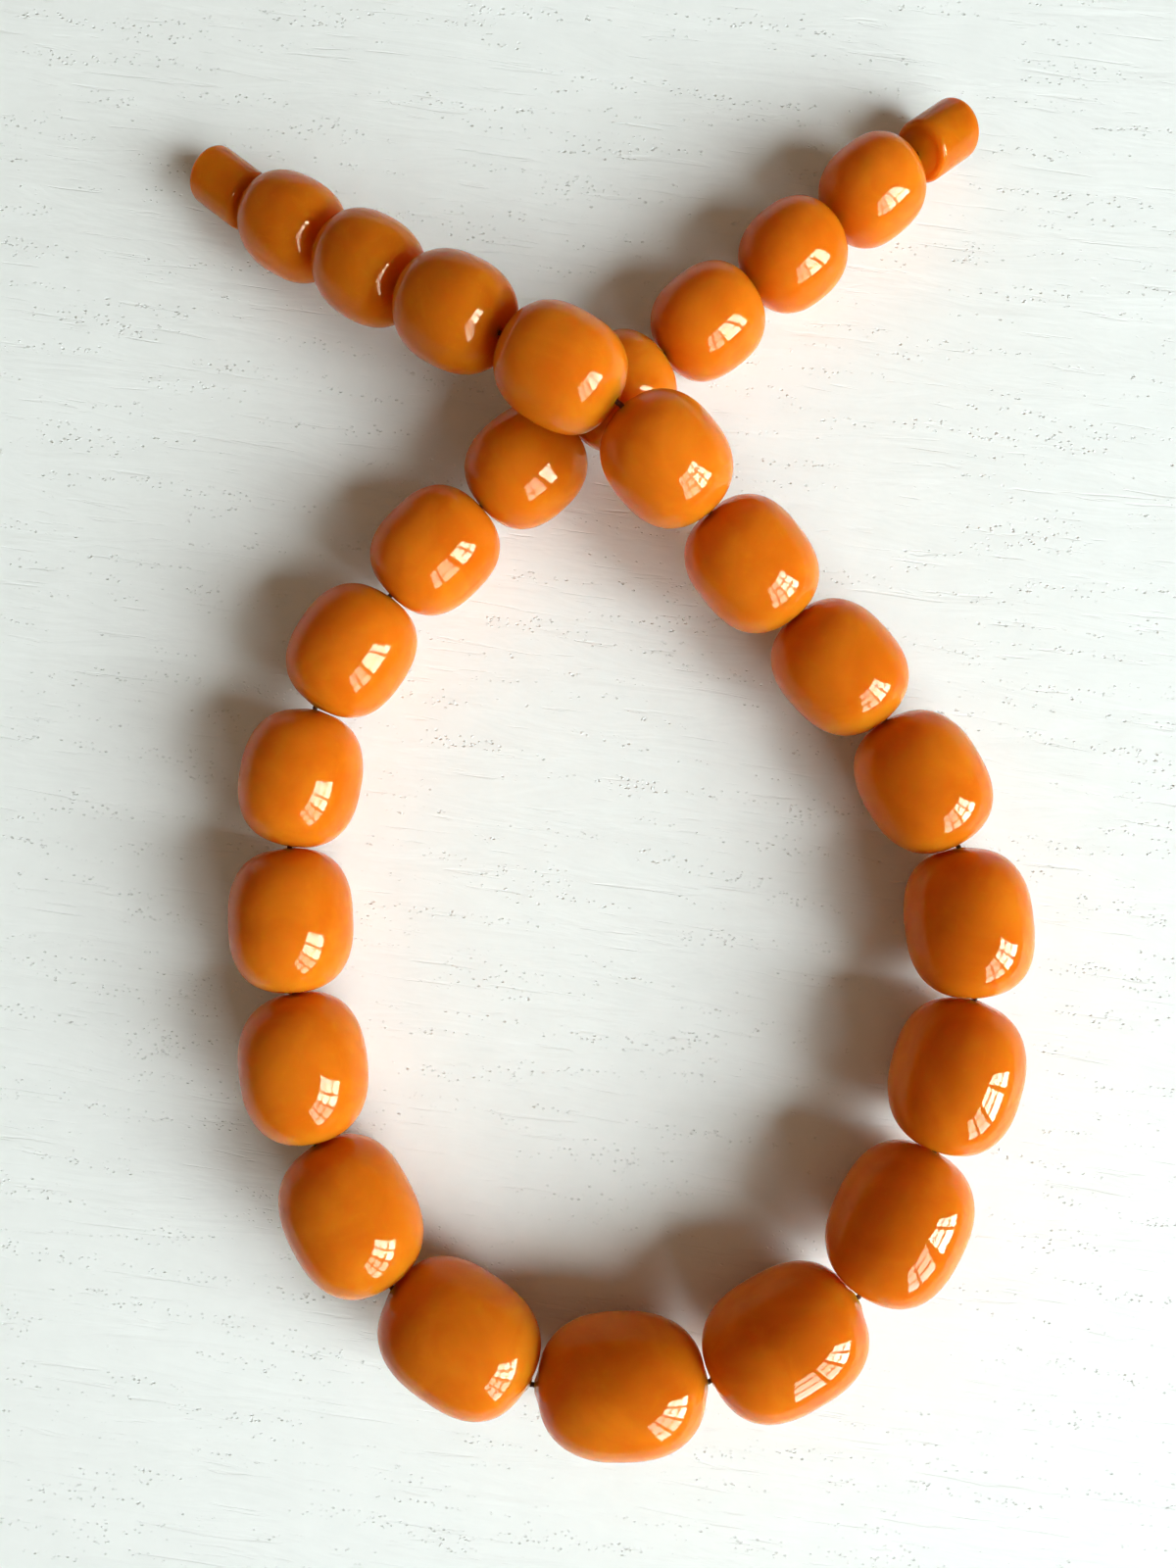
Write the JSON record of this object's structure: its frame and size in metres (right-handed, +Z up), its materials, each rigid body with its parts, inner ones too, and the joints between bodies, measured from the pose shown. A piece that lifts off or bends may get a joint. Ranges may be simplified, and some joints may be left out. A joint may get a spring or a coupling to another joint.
{
  "type": "bead strand",
  "caption": "Open strand of graduated glossy amber-coloured barrel beads on a thin dark cord, laid in a crossed loop, with a small screw clasp half at each end.",
  "frame": {"origin": "middle of the strand's outline on the table it lies on", "axes": "+Z up off the table, +Y from the middle bead towards the two clasp halves, +X to the side of the socket half"},
  "size_m": [0.142, 0.2269, 0.0357],
  "materials": {
    "bead_resin": "polished translucent butterscotch resin",
    "clasp_resin": "polished translucent butterscotch resin, turned",
    "cord": "fine twisted thread, waxed"
  },
  "bodies": {
    "loop": {"cord_loop": "cord"},
    "link_05": {"cord_bead_05": "cord"},
    "link_04": {"cord_bead_04": "cord"},
    "link_03": {"cord_bead_03": "cord"},
    "link_02": {"cord_bead_02": "cord"},
    "link_01": {"cord_bead_01": "cord"},
    "stud_end": {"cord_stud_end": "cord", "knot_stud_end": "cord"},
    "link_23": {"cord_bead_23": "cord"},
    "link_24": {"cord_bead_24": "cord"},
    "link_25": {"cord_bead_25": "cord"},
    "socket_end": {"cord_socket_end": "cord", "knot_socket_end": "cord"},
    "bead_01": {"bead_01": "bead_resin"},
    "bead_02": {"bead_02": "bead_resin"},
    "bead_03": {"bead_03": "bead_resin"},
    "bead_04": {"bead_04": "bead_resin"},
    "bead_05": {"bead_05": "bead_resin"},
    "bead_06": {"bead_06": "bead_resin"},
    "bead_07": {"bead_07": "bead_resin"},
    "bead_08": {"bead_08": "bead_resin"},
    "bead_09": {"bead_09": "bead_resin"},
    "bead_10": {"bead_10": "bead_resin"},
    "bead_11": {"bead_11": "bead_resin"},
    "bead_12": {"bead_12": "bead_resin"},
    "bead_13": {"bead_13": "bead_resin"},
    "bead_14": {"bead_14": "bead_resin"},
    "bead_15": {"bead_15": "bead_resin"},
    "bead_16": {"bead_16": "bead_resin"},
    "bead_17": {"bead_17": "bead_resin"},
    "bead_18": {"bead_18": "bead_resin"},
    "bead_19": {"bead_19": "bead_resin"},
    "bead_20": {"bead_20": "bead_resin"},
    "bead_21": {"bead_21": "bead_resin"},
    "bead_22": {"bead_22": "bead_resin"},
    "bead_23": {"bead_23": "bead_resin"},
    "bead_24": {"bead_24": "bead_resin"},
    "bead_25": {"bead_25": "bead_resin"},
    "clasp_stud_half": {"clasp_stud_half": "clasp_resin"},
    "clasp_socket_half": {"clasp_socket_half": "clasp_resin"}
  },
  "joints": [
    {"name": "stud_tail_lift_at_bead_05", "type": "hinge", "parent": "loop", "child": "link_05", "pos_m": [0.01711, 0.04135, 0.019], "axis": [0.7193, 0.6947, 0], "range_deg": [0, 10]},
    {"name": "stud_tail_lift_at_bead_04", "type": "hinge", "parent": "link_05", "child": "link_04", "pos_m": [0.00295, 0.05602, 0.02723], "axis": [0.5299, 0.848, 0], "range_deg": [0, 20]},
    {"name": "stud_tail_lift_at_bead_03", "type": "hinge", "parent": "link_04", "child": "link_03", "pos_m": [-0.01504, 0.06726, 0.02575], "axis": [0.5299, 0.848, 0], "range_deg": [0, 20]},
    {"name": "stud_tail_swing_at_bead_02", "type": "hinge", "parent": "link_03", "child": "link_02", "pos_m": [-0.03074, 0.07707, 0.01864], "axis": [0, 0, 1], "range_deg": [-12, 12]},
    {"name": "stud_tail_swing_at_bead_01", "type": "hinge", "parent": "link_02", "child": "link_01", "pos_m": [-0.04524, 0.08722, 0.01255], "axis": [0, 0, 1], "range_deg": [-12, 12]},
    {"name": "stud_half_swing", "type": "hinge", "parent": "link_01", "child": "stud_end", "pos_m": [-0.05948, 0.09683, 0.00663], "axis": [0, 0, 1], "range_deg": [-12, 12]},
    {"name": "socket_tail_swing_at_bead_23", "type": "hinge", "parent": "loop", "child": "link_23", "pos_m": [0.01018, 0.06981, 0.00908], "axis": [0, 0, 1], "range_deg": [-12, 12]},
    {"name": "socket_tail_lift_at_bead_24", "type": "hinge", "parent": "link_23", "child": "link_24", "pos_m": [0.02504, 0.08101, 0.00884], "axis": [0.6293, -0.7771, 0], "range_deg": [0, 12]},
    {"name": "socket_tail_swing_at_bead_25", "type": "hinge", "parent": "link_24", "child": "link_25", "pos_m": [0.03872, 0.09209, 0.00859], "axis": [0, 0, 1], "range_deg": [-12, 12]},
    {"name": "socket_half_swing", "type": "hinge", "parent": "link_25", "child": "socket_end", "pos_m": [0.05207, 0.10289, 0.00834], "axis": [0, 0, 1], "range_deg": [-12, 12]},
    {"name": "bead_01_spin", "type": "hinge", "parent": "link_01", "child": "bead_01", "pos_m": [-0.05221, 0.09193, 0.00965], "axis": [0.7839, -0.5287, 0.3256], "continuous": true},
    {"name": "bead_02_spin", "type": "hinge", "parent": "link_02", "child": "bead_02", "pos_m": [-0.03799, 0.08215, 0.01559], "axis": [0.7745, -0.5423, 0.3256], "continuous": true},
    {"name": "bead_03_spin", "type": "hinge", "parent": "link_03", "child": "bead_03", "pos_m": [-0.02297, 0.07221, 0.02216], "axis": [0.7917, -0.4947, 0.3584], "continuous": true},
    {"name": "bead_04_spin", "type": "hinge", "parent": "link_04", "child": "bead_04", "pos_m": [-0.00619, 0.06173, 0.02648], "axis": [0.846, -0.5286, 0.0698], "continuous": true},
    {"name": "bead_05_spin", "type": "hinge", "parent": "link_05", "child": "bead_05", "pos_m": [0.0102, 0.04851, 0.02302], "axis": [0.6441, -0.667, -0.3746], "continuous": true},
    {"name": "bead_06_spin", "type": "hinge", "parent": "loop", "child": "bead_06", "pos_m": [0.02426, 0.03341, 0.01572], "axis": [0.6399, -0.7107, -0.2924], "continuous": true},
    {"name": "bead_07_spin", "type": "hinge", "parent": "loop", "child": "bead_07", "pos_m": [0.03921, 0.0171, 0.01127], "axis": [0.6783, -0.7273, -0.1045], "continuous": true},
    {"name": "bead_08_spin", "type": "hinge", "parent": "loop", "child": "bead_08", "pos_m": [0.05313, -0.00181, 0.01018], "axis": [0.5, -0.866, 0.0102], "continuous": true},
    {"name": "bead_09_spin", "type": "hinge", "parent": "loop", "child": "bead_09", "pos_m": [0.06062, -0.02516, 0.01043], "axis": [0.1045, -0.9945, 0.0098], "continuous": true},
    {"name": "bead_10_spin", "type": "hinge", "parent": "loop", "child": "bead_10", "pos_m": [0.05855, -0.05046, 0.01068], "axis": [-0.2588, -0.9659, 0.0094], "continuous": true},
    {"name": "bead_11_spin", "type": "hinge", "parent": "loop", "child": "bead_11", "pos_m": [0.04913, -0.07487, 0.01092], "axis": [-0.454, -0.891, 0.0091], "continuous": true},
    {"name": "bead_12_spin", "type": "hinge", "parent": "loop", "child": "bead_12", "pos_m": [0.03027, -0.09456, 0.01117], "axis": [-0.866, -0.5, 0.0088], "continuous": true},
    {"name": "bead_13_spin", "type": "hinge", "parent": "loop", "child": "bead_13", "pos_m": [0.0032, -0.1022, 0.0113], "axis": [-0.9994, -0.0349, 0], "continuous": true},
    {"name": "bead_14_spin", "type": "hinge", "parent": "loop", "child": "bead_14", "pos_m": [-0.02386, -0.0946, 0.01117], "axis": [-0.829, 0.5592, -0.0089], "continuous": true},
    {"name": "bead_15_spin", "type": "hinge", "parent": "loop", "child": "bead_15", "pos_m": [-0.04208, -0.07455, 0.01092], "axis": [-0.4695, 0.8829, -0.0092], "continuous": true},
    {"name": "bead_16_spin", "type": "hinge", "parent": "loop", "child": "bead_16", "pos_m": [-0.05021, -0.04983, 0.01067], "axis": [-0.1392, 0.9902, -0.0096], "continuous": true},
    {"name": "bead_17_spin", "type": "hinge", "parent": "loop", "child": "bead_17", "pos_m": [-0.0524, -0.02508, 0.01043], "axis": [-0.0349, 0.9993, -0.0099], "continuous": true},
    {"name": "bead_18_spin", "type": "hinge", "parent": "loop", "child": "bead_18", "pos_m": [-0.05078, -0.00121, 0.01018], "axis": [0.1736, 0.9848, -0.0104], "continuous": true},
    {"name": "bead_19_spin", "type": "hinge", "parent": "loop", "child": "bead_19", "pos_m": [-0.04222, 0.02025, 0.00993], "axis": [0.5592, 0.829, -0.0108], "continuous": true},
    {"name": "bead_20_spin", "type": "hinge", "parent": "loop", "child": "bead_20", "pos_m": [-0.02817, 0.03709, 0.00969], "axis": [0.7193, 0.6946, -0.0113], "continuous": true},
    {"name": "bead_21_spin", "type": "hinge", "parent": "loop", "child": "bead_21", "pos_m": [-0.01283, 0.05116, 0.00945], "axis": [0.7547, 0.656, -0.0119], "continuous": true},
    {"name": "bead_22_spin", "type": "hinge", "parent": "loop", "child": "bead_22", "pos_m": [0.00246, 0.06378, 0.00921], "axis": [0.7879, 0.6156, -0.0125], "continuous": true},
    {"name": "bead_23_spin", "type": "hinge", "parent": "link_23", "child": "bead_23", "pos_m": [0.01761, 0.07541, 0.00896], "axis": [0.7986, 0.6018, -0.0132], "continuous": true},
    {"name": "bead_24_spin", "type": "hinge", "parent": "link_24", "child": "bead_24", "pos_m": [0.03188, 0.08655, 0.00872], "axis": [0.7771, 0.6293, -0.014], "continuous": true},
    {"name": "bead_25_spin", "type": "hinge", "parent": "link_25", "child": "bead_25", "pos_m": [0.04517, 0.09731, 0.00847], "axis": [0.7771, 0.6293, -0.0148], "continuous": true},
    {"name": "clasp_stud_half_spin", "type": "hinge", "parent": "stud_end", "child": "clasp_stud_half", "pos_m": [-0.06417, 0.10063, 0.00578], "axis": [0.7696, -0.6232, 0.1392], "continuous": true},
    {"name": "clasp_socket_half_spin", "type": "hinge", "parent": "socket_end", "child": "clasp_socket_half", "pos_m": [0.05666, 0.10675, 0.00627], "axis": [0.7243, 0.6078, -0.3256], "continuous": true}
  ]
}
